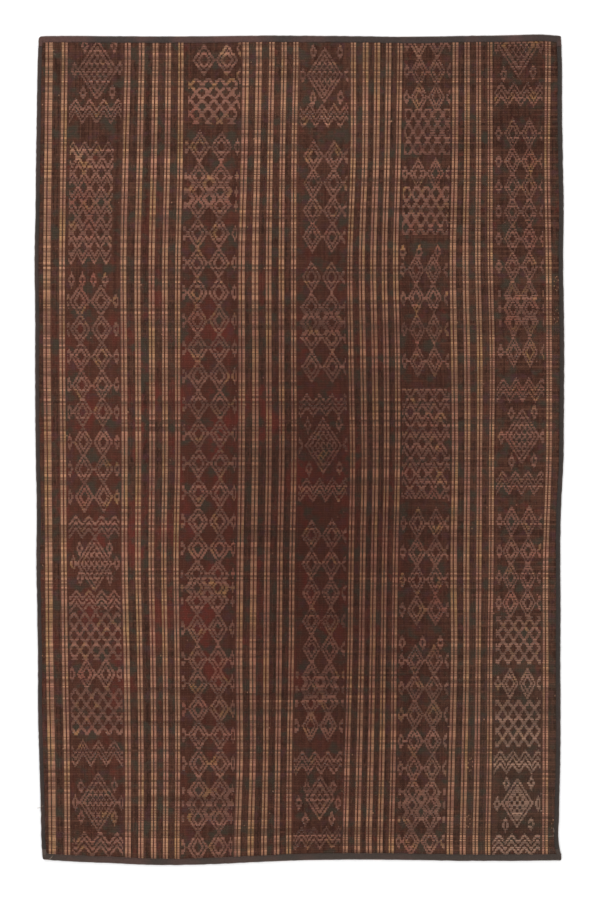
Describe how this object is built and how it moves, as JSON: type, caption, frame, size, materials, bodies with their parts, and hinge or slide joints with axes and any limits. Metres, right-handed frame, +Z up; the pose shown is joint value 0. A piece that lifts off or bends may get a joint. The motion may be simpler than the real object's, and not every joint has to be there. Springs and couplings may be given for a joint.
{
  "type": "flat reed and leather floor mat",
  "caption": "Long flat floor mat of cross-laid reeds woven with leather thongs, striped with bare reed lines and bound in folded leather.",
  "frame": {"origin": "on the floor, under the middle of the mat's outer box", "axes": "+X across the mat, towards the right of the picture; +Y along its length, towards the top of the picture; +Z up from the floor"},
  "size_m": [1.9329, 3.0303, 0.0072],
  "materials": {
    "woven_thongs": "worn dark brown goat leather thongs, dull with a soft sheen on the high spots",
    "reed": "aged orange-brown palm reed, smooth and half dull",
    "end_leather": "charcoal brown folded leather, rubbed lighter along the fold",
    "side_leather": "near black folded leather, rubbed lighter along the fold",
    "thread": "dull pale sewing fibre"
  },
  "bodies": {
    "root": {"woven_field": "woven_thongs", "binding_top_end": "end_leather", "binding_bottom_end": "end_leather", "binding_left_side": "side_leather", "binding_right_side": "side_leather"}
  },
  "joints": []
}
